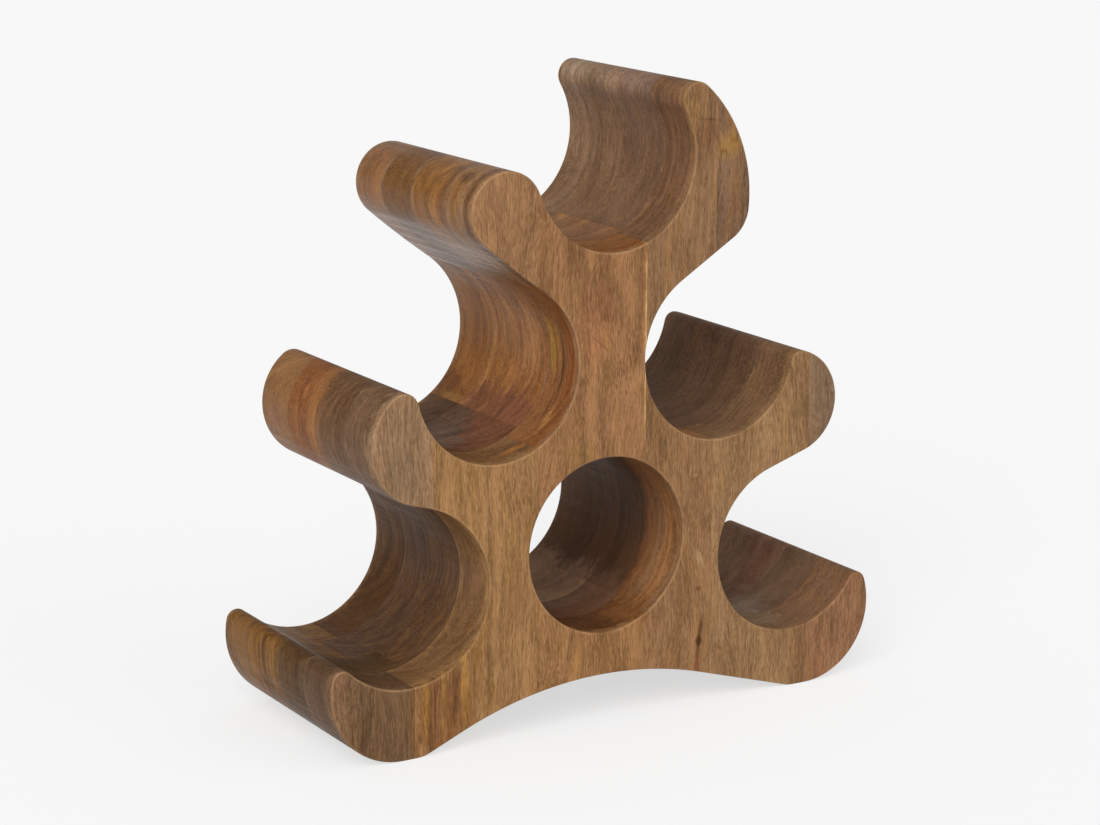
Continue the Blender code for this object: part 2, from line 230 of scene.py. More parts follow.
@dataclass(frozen=True)
class MangoWood:
    """Mango wood, sawn, sanded and oiled.

    The eye sees straight grain along the board with short open pores, soft growth bands, darker
    veins and golden streaks, ends of the grain that drank more oil, and a satin sheen. Its sizes
    are in millimetres, and a pair named a size is a width and a length.
    """

    tint: str
    contrast: float = 0.4
    vein: str = "#3F2412"
    glow: str = "#B07A35"
    # The pale colour of the eased edges: partly scuffing, partly a painted highlight
    scuff_and_highlight: str = "#C39C72"
    bands: float = 0.5
    patches: float = 0.7
    streaks: float = 0.5
    fibres: float = 0.9
    flecks: float = 0.4
    veins: float = 0.14
    glows: float = 0.2
    pores: float = 0.26
    oiled_ends: float = 0.22
    # How pale the eased edges turn: partly scuffing, partly a painted highlight
    edge_scuff_and_highlight: float = 0.45
    band_width: float = 4.5
    pith: tuple[float, float] = (60.0, 160.0)
    taper: float = 0.03
    swing: float = 18.0
    swing_size: tuple[float, float] = (40.0, 90.0)
    raggedness: float = 1.1
    ragged_size: tuple[float, float] = (4.0, 16.0)
    rubbed_size: tuple[float, float] = (3.0, 60.0)
    pore_depth: float = 0.12
    pore_share: float = 0.8
    crowding: float = 0.3
    relief: float = 0.5
    shift: float = 0.0
    roughness: float = 0.4
    rubbing: float = 0.08
    gloss: float = 0.05
    ior: float = 1.5
    stains_and_painted_light: tuple[StainOrPaintedLight, ...] = ()

    def shade(self, factor: float, warmth: float) -> Colour:
        """Lighten or darken the board's tint.

        Args:
            factor: What the linear colour is multiplied by.
            warmth: How far it turns from blue to red.

        Returns:
            The linear colour.
        """
        red, green, blue, alpha = linear(self.tint)
        return red * factor * (1 + warmth), green * factor, blue * factor * (1 - warmth), alpha

    def dress(self, piece: bpy.types.Object) -> None:
        """Make the board's material and give it to the board.

        Args:
            piece: The board's mesh object.
        """
        material = bpy.data.materials.new(f"mango_wood_oiled_{piece.name}")
        material.use_nodes = True
        tree = material.node_tree
        tree.nodes.clear()
        place = add_node(tree, "TexCoord")
        millimetres = add_node(
            tree, "VectorMath", {0: place.outputs["Object"], 1: (1 / MM,) * 3}, operation="MULTIPLY"
        ).outputs[0]
        grain = self.grain_space(tree, millimetres)
        marks = self.fine_marks(tree, grain, self.growth_bands(tree, grain))
        ground = self.stained_and_painted(tree, millimetres)
        colour = self.board_colour(tree, grain, marks, ground)
        colour = self.oil_scuff_and_highlight(tree, place, marks, colour)
        # Sanding through the pockets, from front to back, left rubbed lines a few millimetres wide
        width, length = self.rubbed_size
        lengthwise = add_node(
            tree, "VectorMath", {0: millimetres, 1: (1 / width, 1 / length, 1 / width)}, operation="MULTIPLY"
        ).outputs[0]
        rubbed = add_node(tree, "TexNoise", {"Vector": lengthwise, "Scale": 1.0, "Detail": 2.0}).outputs[0]
        start, full = MARK_EDGES["rubbed"]
        rough = add_node(
            tree,
            "MapRange",
            {
                "Value": rubbed,
                "From Min": start,
                "From Max": full,
                "To Min": self.roughness - self.rubbing,
                "To Max": self.roughness + self.rubbing,
            },
        ).outputs[0]
        height = add_node(
            tree, "Math", {0: marks["pore"], 1: -self.pore_share, 2: marks["fibre"]}, operation="MULTIPLY_ADD"
        ).outputs[0]
        bump = add_node(
            tree, "Bump", {"Height": height, "Strength": self.relief, "Distance": self.pore_depth * MM}
        )
        shader = add_node(
            tree,
            "BsdfPrincipled",
            {
                "Base Color": colour,
                "Roughness": rough,
                "Normal": bump.outputs[0],
                "IOR": self.ior,
                "Specular IOR Level": self.gloss,
            },
        )
        add_node(tree, "OutputMaterial", {"Surface": shader.outputs[0]})
        piece.data.materials.append(material)

    def grain_space(self, tree: Tree, millimetres: Socket) -> Socket:
        """Wave the board's own space, so that its grain isn't ruled along the upright.

        Args:
            tree: The material's node tree.
            millimetres: The place on the holder in millimetres.

        Returns:
            The place in the board's grain, whose third axis runs along the fibres.
        """
        own = add_node(
            tree, "VectorMath", {0: millimetres, 1: (0, 0, self.shift * STEP_LENGTH)}, operation="ADD"
        ).outputs[0]
        # The grain swings to and fro by a few millimetres over a hand's width
        width, length = self.swing_size
        slow = add_node(
            tree, "VectorMath", {0: own, 1: (1 / width, 1 / width, 1 / length)}, operation="MULTIPLY"
        ).outputs[0]
        swing = add_node(tree, "TexNoise", {"Vector": slow, "Scale": 1.0, "Detail": 1.5}).outputs["Color"]
        centred = add_node(tree, "VectorMath", {0: swing, 1: (0.5,) * 3}, operation="SUBTRACT").outputs[0]
        return add_node(
            tree, "VectorMath", {0: centred, 1: (self.swing, self.swing, 0), 2: own}, operation="MULTIPLY_ADD"
        ).outputs[0]

    def growth_bands(self, tree: Tree, grain: Socket) -> Socket:
        """Draw the yearly growth round the pith, which lay outside the board.

        Args:
            tree: The material's node tree.
            grain: The place in the board's grain.

        Returns:
            A value about 0.5 that rises in pale growth and falls in dark.
        """
        across = add_node(
            tree,
            "VectorMath",
            {0: grain, 1: (1, 1, self.taper), 2: (-self.pith[0], -self.pith[1], 0)},
            operation="MULTIPLY_ADD",
        ).outputs[0]
        radius = add_node(tree, "VectorMath", {0: across}, operation="LENGTH").outputs["Value"]
        years = add_node(
            tree,
            "Math",
            {0: radius, 1: 1 / self.band_width, 2: self.shift * STEP_YEARS},
            operation="MULTIPLY_ADD",
        ).outputs[0]
        return add_node(
            tree,
            "TexNoise",
            {"W": years, "Scale": 1.0, "Detail": 2.5, "Roughness": 0.65},
            noise_dimensions="1D",
        ).outputs[0]

    def fine_marks(self, tree: Tree, grain: Socket, band: Socket) -> dict[str, Socket]:
        """Draw the marks that run along the fibres.

        Args:
            tree: The material's node tree.
            grain: The place in the board's grain.
            band: The growth bands.

        Returns:
            Values of band, patch, streak, fibre, fleck and pore by name.
        """
        # Widths across the grain and lengths along it in millimetres, and how far a mark breaks up.
        # Real fibres and pores are about 0.1 mm wide, and are drawn as coarse as they need to show
        figure = {
            "patch": (22, 60, 3.0),
            "streak": (2.2, 45, 2.5),
            "fibre": (0.65, 12, 1.5),
            "fleck": (0.55, 3.0, 0.0),
            "pore": (0.45, 3.2, 0.0),
        }
        marks = {"band": band}
        for name, (width, length, detail) in figure.items():
            scaled = add_node(
                tree, "VectorMath", {0: grain, 1: (1 / width, 1 / width, 1 / length)}, operation="MULTIPLY"
            ).outputs[0]
            marks[name] = add_node(
                tree, "TexNoise", {"Vector": scaled, "Scale": 1.0, "Detail": detail, "Roughness": 0.6}
            ).outputs[0]
        # Pores crowd in the dark growth
        crowded = add_node(
            tree, "Math", {0: band, 1: -self.crowding, 2: marks["pore"]}, operation="MULTIPLY_ADD"
        ).outputs[0]
        start, full = MARK_EDGES["pore"]
        marks["pore"] = add_node(
            tree,
            "MapRange",
            {"Value": crowded, "From Min": start, "From Max": full},
            interpolation_type="SMOOTHSTEP",
        ).outputs[0]
        return marks

    def board_colour(
        self, tree: Tree, grain: Socket, marks: dict[str, Socket], ground: Socket | Colour
    ) -> Socket:
        """Shade the board's ground colour by its growth and its fibres.

        Args:
            tree: The material's node tree.
            grain: The place in the board's grain.
            marks: The marks' values by name.
            ground: The board's own colour with its stains.

        Returns:
            The colour of the wood with its veins, golden streaks and pores.
        """
        shares = {
            "band": self.bands,
            "patch": self.patches,
            "streak": self.streaks,
            "fibre": self.fibres,
            "fleck": self.flecks,
        }
        tone = 0.5 - sum(shares.values())
        for name, share in shares.items():
            tone = add_node(
                tree, "Math", {0: marks[name], 1: share * 2, 2: tone}, operation="MULTIPLY_ADD"
            ).outputs[0]
        tone = add_node(tree, "Clamp", {0: tone}).outputs[0]
        # The dark growth is a little redder than the pale
        dark = 1 - self.contrast
        rise = 2 * self.contrast
        shading = add_node(
            tree,
            "VectorMath",
            {0: tone, 1: (rise - 0.05, rise, rise + 0.04), 2: (dark + 0.03, dark, dark - 0.03)},
            operation="MULTIPLY_ADD",
        ).outputs[0]
        colour = add_node(
            tree, "Mix", {"Factor": 1.0, 6: ground, 7: shading}, data_type="RGBA", blend_type="MULTIPLY"
        ).outputs[2]
        # Veins and golden streaks are a few millimetres wide, wider across the front than through the
        # block, and run for most of a board
        start, full = MARK_EDGES["vein"]
        for width, length, tint, amount, offset in (
            (3.2, 120.0, self.vein, self.veins, 31.0),
            (3.6, 90.0, self.glow, self.glows, 77.0),
        ):
            place = add_node(
                tree,
                "VectorMath",
                {0: grain, 1: (0.6 / width, 1 / width, 1 / length), 2: (offset, offset, 0)},
                operation="MULTIPLY_ADD",
            ).outputs[0]
            noise = add_node(tree, "TexNoise", {"Vector": place, "Scale": 1.0, "Detail": 2.0}).outputs[0]
            mask = add_node(
                tree,
                "MapRange",
                {"Value": noise, "From Min": start, "From Max": full, "To Max": amount},
                interpolation_type="SMOOTHSTEP",
            ).outputs[0]
            colour = add_node(
                tree, "Mix", {"Factor": mask, 6: colour, 7: linear(tint)}, data_type="RGBA"
            ).outputs[2]
        open_pores = add_node(
            tree, "Math", {0: marks["pore"], 1: self.pores}, operation="MULTIPLY"
        ).outputs[0]
        return add_node(
            tree, "Mix", {"Factor": open_pores, 6: colour, 7: self.shade(*PORE_SHADE)}, data_type="RGBA"
        ).outputs[2]

    def stained_and_painted(self, tree: Tree, millimetres: Socket) -> Socket | Colour:
        """Lay the board's own stain marks and painted patches over its tint.

        Args:
            tree: The material's node tree.
            millimetres: The place on the holder in millimetres.

        Returns:
            The tint with every stain mark and painted patch.
        """
        colour = linear(self.tint)
        if not self.stains_and_painted_light:
            return colour
        # Each stain mark and painted patch has a ragged edge of a few millimetres, longer along the grain
        width, length = self.ragged_size
        slow = add_node(
            tree, "VectorMath", {0: millimetres, 1: (1 / width, 1 / width, 1 / length)}, operation="MULTIPLY"
        ).outputs[0]
        ragged = add_node(tree, "TexNoise", {"Vector": slow, "Scale": 1.0, "Detail": 3.0}).outputs["Color"]
        centred = add_node(tree, "VectorMath", {0: ragged, 1: (0.5,) * 3}, operation="SUBTRACT").outputs[0]
        for stain in self.stains_and_painted_light:
            away = add_node(
                tree,
                "Mapping",
                {
                    "Vector": millimetres,
                    "Location": stain.centre,
                    "Rotation": (0, math.radians(stain.lean), 0),
                    "Scale": stain.reach,
                },
                vector_type="TEXTURE",
            ).outputs[0]
            torn = add_node(
                tree, "VectorMath", {0: centred, 1: (self.raggedness,) * 3, 2: away}, operation="MULTIPLY_ADD"
            ).outputs[0]
            distance = add_node(tree, "VectorMath", {0: torn}, operation="LENGTH").outputs["Value"]
            mask = add_node(
                tree,
                "MapRange",
                {"Value": distance, "From Min": 1 - stain.softness, "To Min": stain.strength, "To Max": 0.0},
                interpolation_type="SMOOTHSTEP",
            ).outputs[0]
            colour = add_node(
                tree, "Mix", {"Factor": mask, 6: colour, 7: linear(stain.tint)}, data_type="RGBA"
            ).outputs[2]
        return colour

    def oil_scuff_and_highlight(
        self, tree: Tree, place: bpy.types.Node, marks: dict[str, Socket], colour: Socket
    ) -> Socket:
        """Darken the ends of the grain, which drink oil, and lighten eased edges: scuffing and a painted
        highlight.

        Args:
            tree: The material's node tree.
            place: The texture coordinate node.
            marks: The marks' values by name.
            colour: The colour so far.

        Returns:
            The colour that goes into the shader.
        """
        facing = add_node(tree, "SeparateXYZ", {0: place.outputs["Normal"]}).outputs[2]
        squared = add_node(tree, "Math", {0: facing, 1: facing}, operation="MULTIPLY").outputs[0]
        oil = add_node(
            tree, "MapRange", {"Value": squared, "From Min": 0.1, "To Max": self.oiled_ends}
        ).outputs[0]
        colour = add_node(
            tree, "Mix", {"Factor": oil, 6: colour, 7: self.shade(*END_SHADE)}, data_type="RGBA"
        ).outputs[2]
        # The eased edges turn pale in patches: partly scuffing, partly a painted highlight
        eased = add_node(tree, "Attribute", attribute_name="eased").outputs["Fac"]
        start, full = MARK_EDGES["patchy_scuff_and_highlight"]
        patchy_scuff_and_highlight = add_node(
            tree,
            "MapRange",
            {"Value": marks["patch"], "From Min": start, "From Max": full, "To Max": self.edge_scuff_and_highlight},
        ).outputs[0]
        scuff_and_highlight_mask = add_node(tree, "Math", {0: eased, 1: patchy_scuff_and_highlight}, operation="MULTIPLY").outputs[0]
        return add_node(
            tree, "Mix", {"Factor": scuff_and_highlight_mask, 6: colour, 7: linear(self.scuff_and_highlight)}, data_type="RGBA"
        ).outputs[2]


TONE_WOODS = {
    Tone.GREY: MangoWood("#74563B", glow="#A07848"),
    Tone.HONEY: MangoWood("#94683C"),
    Tone.TAN: MangoWood("#8C6340"),
    Tone.UMBER: MangoWood("#73502F"),
    Tone.RUSSET: MangoWood("#8D5C38"),
}

# What boards of one place share in several layers: the top left arm's tip, the trunk, the right foot
# and the right web
POLISHED = {"gloss": 0.12, "roughness": 0.3}
SATIN = {"gloss": 0.07, "roughness": 0.35}
CLOUDY = {"contrast": 0.32, "bands": 0.2, "streaks": 0.3, "patches": 1.3, "glows": 0.05}
QUIET = {"contrast": 0.28, "glows": 0.05}

BoardWoods = dict[Board, dict[str, Any]]

FRONT_WOODS: BoardWoods = {
    Board.TOP_LEFT_ARM_TIP: {
        "tint": "#99704C",
        **POLISHED,
        "stains_and_painted_light": (
            growth_band("#603C1C", -56, 5.5, 0.85),
            growth_band("#90602A", -43, 9, 0.8),
            growth_band("#70461E", -32, 4.5, 0.85),
            StainOrPaintedLight("#503725", (-77, -45, 293), (5, 7, 6)),
        ),
    },
    Board.MIDDLE_LEFT_ARM_TIP: {
        "tint": "#967557",
        "glows": 0.05,
        "stains_and_painted_light": (
            growth_band("#6E513A", -43, 17, 0.9, 0.3),
            growth_band("#8C6E56", -41, 1.4, 0.45),
            growth_band("#84684F", -50, 1.2, 0.4),
            StainOrPaintedLight("#846A50", (-126, FACE, 150), (11, 3, 18), 0.65),
            upright_streak("#A98768", -140, 172, 2.5, 24, 0.5),
        ),
    },
    Board.LEFT_FOOT_TIP: {
        "tint": "#775A40",
        "glows": 0.08,
        "stains_and_painted_light": (
            growth_band("#5C422D", -45, 14, 0.8, 0.4),
            StainOrPaintedLight("#88654A", (-164, FACE, 40), (10, 4, 30), 0.8),
            StainOrPaintedLight("#6C5138", (-142, FACE, 24), (16, 4, 30), 0.7),
            StainOrPaintedLight("#785636", (-119, FACE, 24), (7, 4, 34), 0.8),
        ),
    },
    Board.LEFT_SIDE_BOARD: {
        "tint": "#99724A",
        "stains_and_painted_light": (
            growth_band("#795638", -45, 14, 0.8, 0.4),
            StainOrPaintedLight("#B5793E", (-54, -49, 151), (13, 3.5, 7), 0.75),
            StainOrPaintedLight("#5C3A26", (-58, -44, 150), (17, 1.8, 7), 0.5),
            StainOrPaintedLight("#774E30", (-104, FACE, 22), (24, 6, 34), 0.8),
            upright_streak("#B0803A", -112, 30, 2.5, 30),
            upright_streak("#62402A", -107, 32, 1.2, 32),
            upright_streak("#AC8046", -102, 34, 3, 34),
            upright_streak("#6A442A", -96, 34, 1.3, 26, 0.5),
            upright_streak("#B0803A", -90, 34, 3.5, 34, 0.5),
            upright_streak("#6A442A", -84, 38, 1.1, 26, 0.5),
            upright_streak("#B98A48", -33, 100, 2.5, 60, 0.45),
        ),
    },
    Board.TRUNK_BOARD: {
        "tint": "#966C48",
        "patches": 0.5,
        "glows": 0.1,
        **SATIN,
        "stains_and_painted_light": (
            growth_band("#955F33", -45, 16, 0.8, 0.3),
            growth_band("#8A5229", -55, 6, 0.85),
            StainOrPaintedLight("#BC8A3A", (-23, -38.5, 202), (14, 7, 22), 0.75),
            StainOrPaintedLight("#6A3E20", (-23, -40.5, 200), (14, 0.9, 16), 0.7),
            StainOrPaintedLight("#54301C", (-23, -47, 188), (14, 1.4, 24), 0.7),
            StainOrPaintedLight("#54301C", (-30, -44, 170), (14, 1.2, 12)),
            StainOrPaintedLight("#C08848", (-34, -49, 164), (12, 3, 10), 0.7),
            StainOrPaintedLight("#A86F4C", (-12, FACE, 215), (16, 3, 28), 0.4),
            StainOrPaintedLight("#8F7038", (-20, FACE, 148), (14, 3, 8), 0.35),
            upright_streak("#D0A868", 18, 200, 0.9, 80, 0.8),
            StainOrPaintedLight("#7A5233", (-10, FACE, 204.5), (15, 3, 1), 0.6, 0.8, 41),
            StainOrPaintedLight("#80583A", (16, -44, 202), (30, 16, 40), 0.85, 0.4),
        ),
    },
    Board.LOWER_RAIL_BOARD: {
        "tint": "#986F48",
        "stains_and_painted_light": (
            growth_band("#5C3722", -43, 18, 0.9, 0.3), StainOrPaintedLight("#85552F", (18, -46, 52), (16, 24, 12), 0.85)
        ),
    },
    Board.RIGHT_WEB_BOARD: {
        "tint": "#8E6948",
        "glows": 0.12,
        "stains_and_painted_light": (
            growth_band("#A87244", -50, 10, 0.75),
            growth_band("#945F36", -35, 6),
            StainOrPaintedLight("#85552F", (18, -46, 54), (18, 24, 14), 0.85),
            upright_streak("#4E2C17", 54.3, 37, 2.2, 18, 0.75, 7),
            StainOrPaintedLight("#40200E", (54, FACE, 35), (3.4, 4, 3.8), 0.85),
            upright_streak("#7A4026", 52, 14, 3.4, 22, 0.65, 4),
            StainOrPaintedLight("#6A3A1E", (53, FACE, 64.5), (2.2, 4, 1.8), 0.7),
            StainOrPaintedLight("#B08E68", (53.5, FACE, 81), (2.8, 4, 10), 0.7, 0.8, -32),
            StainOrPaintedLight("#7A5535", (50.5, FACE, 78), (1.4, 4, 9), 0.5, 0.8, -32),
            StainOrPaintedLight("#7C5538", (50, FACE, 127), (5, 4, 4), 0.5),
            StainOrPaintedLight("#A98763", (50, FACE, 127), (2, 4, 1.6), 0.5),
            upright_streak("#A9854F", 24, 190, 2, 60, 0.4),
        ),
    },
    Board.RIGHT_SIDE_BOARD: {
        "tint": "#95724F",
        "glows": 0.12,
        "stains_and_painted_light": (
            growth_band("#7A5A40", -45, 15, 0.8, 0.3),
            # The greyish patch low in the pocket is a painted sheen
            StainOrPaintedLight("#927860", (104, -38, 34), (24, 18, 14), 0.85),
            StainOrPaintedLight("#926B4C", (124, FACE, 20), (12, 4, 40), 0.8),
        ),
    },
    Board.TOP_RIGHT_ARM_ROOT: {
        "tint": "#8D6A4B",
        "stains_and_painted_light": (
            growth_band("#7A563E", -45, 16, 0.8, 0.3),
            StainOrPaintedLight("#A37C50", (45, FACE, 318), (6, 4, 14), 0.5),
            StainOrPaintedLight("#8B5A3F", (57, FACE, 307), (9, 4, 9), 0.4),
            StainOrPaintedLight("#5E3F2A", (56, FACE, 315), (14, 4, 0.9), 0.4, 0.8, 8),
        ),
    },
    Board.TOP_RIGHT_ARM_TIP: {
        "tint": "#7C5E47",
        "flecks": 0.6,
        "stains_and_painted_light": (
            StainOrPaintedLight("#95703C", (67, FACE, 301), (14, 5, 11), 0.8, 0.9),
            StainOrPaintedLight("#6A4828", (65, FACE, 298), (4, 5, 3), 0.5, 0.9),
            StainOrPaintedLight("#6A4828", (71, FACE, 303), (4, 5, 3), 0.5, 0.9),
        ),
    },
    Board.MIDDLE_RIGHT_ARM_TIP: {"tint": "#856A52"},
    Board.RIGHT_FOOT_TIP: {
        "tint": "#8F674A",
        "stains_and_painted_light": (
            growth_band("#7F5F47", -46, 14, 0.7, 0.3), StainOrPaintedLight("#926B4C", (121, FACE, 20), (12, 4, 40), 0.9)
        ),
    },
}

SECOND_WOODS: BoardWoods = {
    Board.TOP_LEFT_ARM_TIP: {
        "tint": "#905E28",
        **POLISHED,
        "glow": "#B28246",
        "glows": 0.45,
        "bands": 0.75,
        "stains_and_painted_light": (growth_band("#744C2A", -30.5, 3.5), growth_band("#A87440", -22, 4, 0.4)),
    },
    Board.MIDDLE_LEFT_ARM_TIP: {
        "tint": "#704F33",
        "glows": 0.05,
        "bands": 0.7,
        "stains_and_painted_light": (
            growth_band("#83593A", -2, 4.5, 0.8),
            growth_band("#83664F", -15, 1.3, 0.5),
            growth_band("#86694F", -21, 1, 0.5),
            growth_band("#7E6049", -27, 1.2, 0.45),
        ),
    },
    Board.LEFT_FOOT_TIP: {
        "tint": "#5A3E20",
        "glows": 0.1,
        "stains_and_painted_light": (growth_band("#664D34", -28, 5.5), growth_band("#70532F", -1, 3.5)),
    },
    Board.LEFT_SIDE_BOARD: {
        "tint": "#67482F",
        "stains_and_painted_light": (
            StainOrPaintedLight("#84543A", (-46, -16, 154), (36, 30, 22), 0.95, 0.4),
            StainOrPaintedLight("#836A58", (-76, -2, 148), (24, 20, 12), 0.85),
        ),
    },
    Board.TRUNK_BOARD: {
        "tint": "#A87041",
        "bands": 0.7,
        **SATIN,
        "stains_and_painted_light": (
            growth_band("#95602F", -29, 5),
            StainOrPaintedLight("#CB9059", (-22, -15, 201), (16, 13, 26), 0.75),
            StainOrPaintedLight("#82503A", (-36, -14, 158), (18, 28, 26), 0.9),
            StainOrPaintedLight("#6E4C30", (16, -16, 202), (30, 40, 40), 0.85, 0.4),
            StainOrPaintedLight("#86624A", (10, -14, 250), (30, 30, 14), 0.8),
        ),
    },
    Board.LOWER_RAIL_BOARD: {
        "tint": "#7D553C",
        "contrast": 0.32,
        "stains_and_painted_light": (growth_band("#8C6A52", -6, 12, 0.9), StainOrPaintedLight("#7C5A42", (22, -16, 50), (18, 26, 14), 0.9)),
    },
    Board.RIGHT_WEB_BOARD: {
        "tint": "#64452C",
        **QUIET,
        "stains_and_painted_light": (
            growth_band("#9C6238", -37, 15, 1, 1),
            growth_band("#533824", -6, 9, 0.6),
            StainOrPaintedLight("#7C5A42", (22, -14, 54), (20, 26, 16), 0.9),
            StainOrPaintedLight("#8A4E38", (52, -24, 66), (14, 9, 14)),
        ),
    },
    Board.RIGHT_SIDE_BOARD: {
        # The greyish patch low in the pocket is a painted sheen
        "tint": "#7A5B43", "stains_and_painted_light": (StainOrPaintedLight("#9A8470", (108, -14, 36), (26, 26, 15), 0.85),)
    },
    Board.RIGHT_FOOT_TIP: {
        "tint": "#84664E",
        **CLOUDY,
        # The greyish patch low in the pocket is a painted sheen
        "stains_and_painted_light": (growth_band("#85624A", -29, 6), StainOrPaintedLight("#9A8470", (108, -14, 36), (26, 26, 15), 0.85)),
    },
    Board.TOP_RIGHT_ARM_ROOT: {
        "tint": "#82624B", "stains_and_painted_light": (StainOrPaintedLight("#907464", (42, -16, 334), (26, 30, 14), 0.8),)
    },
}

THIRD_WOODS: BoardWoods = {
    Board.TOP_LEFT_ARM_TIP: {
        "tint": "#7A4F20", **POLISHED, "glow": "#A07C50", "stains_and_painted_light": (growth_band("#8E6C50", 1, 3.5, 0.6),)
    },
    Board.MIDDLE_LEFT_ARM_TIP: {
        "tint": "#905B32",
        "contrast": 0.34,
        "stains_and_painted_light": (
            growth_band("#9E6E42", 5, 7, 0.6),
            StainOrPaintedLight("#74402A", (-139, 19, 178), (9, 5, 11), 0.7),
            StainOrPaintedLight("#B07040", (-139, 17, 179), (9, 2.8, 6), 0.7),
            StainOrPaintedLight("#7A4528", (-139, 14, 160), (9, 3.5, 9), 0.5),
            StainOrPaintedLight("#7F4A2A", (-134, 26, 189), (9, 4, 8), 0.5),
        ),
    },
    Board.LEFT_FOOT_TIP: {
        "tint": "#774F24",
        "glow": "#A87838",
        "glows": 0.5,
        "bands": 0.8,
        "stains_and_painted_light": (growth_band("#5E3C22", 19, 5), growth_band("#936A38", 8, 3, 0.5)),
    },
    Board.LEFT_SIDE_BOARD: {
        "tint": "#624632",
        "stains_and_painted_light": (
            StainOrPaintedLight("#6E5646", (-62, 16, 152), (28, 24, 16), 0.9),
            # This small greyish smear is a painted reflection
            StainOrPaintedLight("#7E6A5A", (-60, 10, 149), (10, 3, 8), 0.45, 0.9),
            StainOrPaintedLight("#84543A", (-42, -4, 156), (18, 24, 12), 0.85),
        ),
    },
    Board.TRUNK_BOARD: {
        "tint": "#B0763E",
        "bands": 0.7,
        **SATIN,
        "stains_and_painted_light": (
            growth_band("#8A5A32", 19, 2.6),
            growth_band("#C09060", 24.5, 2.6, 0.4),
            StainOrPaintedLight("#C88E58", (-22, 7, 204), (16, 9, 28), 0.7),
            StainOrPaintedLight("#87553A", (-37, 10, 159), (17, 30, 27), 0.9),
            StainOrPaintedLight("#74523A", (16, 16, 202), (30, 40, 40), 0.85, 0.4),
            StainOrPaintedLight("#8A6648", (10, 14, 250), (30, 30, 14), 0.8),
        ),
    },
    Board.LOWER_RAIL_BOARD: {
        # Paler than its neighbours: painted light, standing in for light that falls on the hole's floor from
        # behind
        "tint": "#BC926E",
        "contrast": 0.3,
        "stains_and_painted_light": (
            growth_band("#94704F", 28, 8),
            StainOrPaintedLight("#C4A488", (-6, 12, 50), (14, 5, 8), 0.5, 0.9),
            # This pale patch over the glue line with the web is painted light as well
            StainOrPaintedLight("#A07C62", (22, 16, 50), (18, 26, 14), 0.9),
        ),
    },
    Board.RIGHT_WEB_BOARD: {
        # The pale patch over the glue line with the rail is painted light from behind
        "tint": "#6B4B31", **QUIET, "stains_and_painted_light": (StainOrPaintedLight("#A07C62", (20, 14, 54), (22, 30, 16), 0.9),)
    },
    Board.RIGHT_SIDE_BOARD: {"tint": "#806048"},
    Board.RIGHT_FOOT_TIP: {
        "tint": "#967058",
        **CLOUDY,
        "stains_and_painted_light": (growth_band("#7E5E48", 27, 7), StainOrPaintedLight("#96624E", (146, 12, 48), (12, 9, 10), 0.5)),
    },
    Board.TOP_RIGHT_ARM_ROOT: {
        "tint": "#88674C", "stains_and_painted_light": (StainOrPaintedLight("#9C8068", (42, 16, 334), (26, 30, 14), 0.8),)
    },
}

BACK_WOODS: BoardWoods = {
    Board.TOP_LEFT_ARM_TIP: {
        "tint": "#8F6036",
        **POLISHED,
        "glow": "#B0703C",
        "glows": 0.4,
        "stains_and_painted_light": (StainOrPaintedLight("#A06438", (-92, 45, 268), (16, 10, 16), 0.6), growth_band("#7E624A", 33, 3, 0.6)),
    },
    Board.MIDDLE_LEFT_ARM_TIP: {
        "tint": "#976B42",
        "contrast": 0.32,
        "stains_and_painted_light": (
            StainOrPaintedLight("#996A55", (-142, 46, 158), (12, 10, 12), 0.5), growth_band("#8A6048", 33, 2.5, 0.5)
        ),
    },
    Board.LEFT_FOOT_TIP: {
        "tint": "#80592F",
        "glow": "#A87838",
        "glows": 0.45,
        "bands": 0.8,
        "stains_and_painted_light": (growth_band("#5E4028", 34.5, 2.6, 0.6),),
    },
    Board.LEFT_SIDE_BOARD: {
        "tint": "#603F20", "glows": 0.05, "stains_and_painted_light": (StainOrPaintedLight("#5C4632", (-56, 46, 152), (30, 30, 14), 0.8),)
    },
    Board.TRUNK_BOARD: {
        "tint": "#98622E",
        "bands": 0.65,
        **SATIN,
        "stains_and_painted_light": (
            growth_band("#865530", 35, 3, 0.5),
            StainOrPaintedLight("#7A4A26", (-36, 50, 160), (14, 22, 20), 0.8),
            StainOrPaintedLight("#A07A40", (-38, 40, 159), (5, 20, 3)),
            StainOrPaintedLight("#72502F", (16, 46, 202), (30, 40, 40), 0.85, 0.4),
            StainOrPaintedLight("#8C6A4C", (10, 46, 250), (30, 30, 14), 0.8),
        ),
    },
    Board.LOWER_RAIL_BOARD: {
        # Pale tint and pale patch: painted light falling on the hole's floor from behind
        "tint": "#C0956F", "contrast": 0.3, "stains_and_painted_light": (StainOrPaintedLight("#AC8868", (19, 46, 50), (18, 26, 14), 0.9),)
    },
    Board.RIGHT_WEB_BOARD: {
        # The pale patch over the glue line with the rail is painted light from behind
        "tint": "#6D4B30", **QUIET, "stains_and_painted_light": (StainOrPaintedLight("#AC8868", (18, 46, 54), (22, 30, 16), 0.9),)
    },
    Board.RIGHT_SIDE_BOARD: {"tint": "#7C5E47"},
    Board.RIGHT_FOOT_TIP: {"tint": "#906F56", **CLOUDY},
    Board.TOP_RIGHT_ARM_ROOT: {
        "tint": "#8C6C51", "stains_and_painted_light": (StainOrPaintedLight("#A68C74", (42, 46, 334), (26, 30, 14), 0.8),)
    },
}

LAYER_WOODS = dict(zip(Layer, (FRONT_WOODS, SECOND_WOODS, THIRD_WOODS, BACK_WOODS)))

# The back face has gone nearly one tone under sanding and oil, as the front has
BACK_FACE = growth_band("#8E6A48", 64, 8)


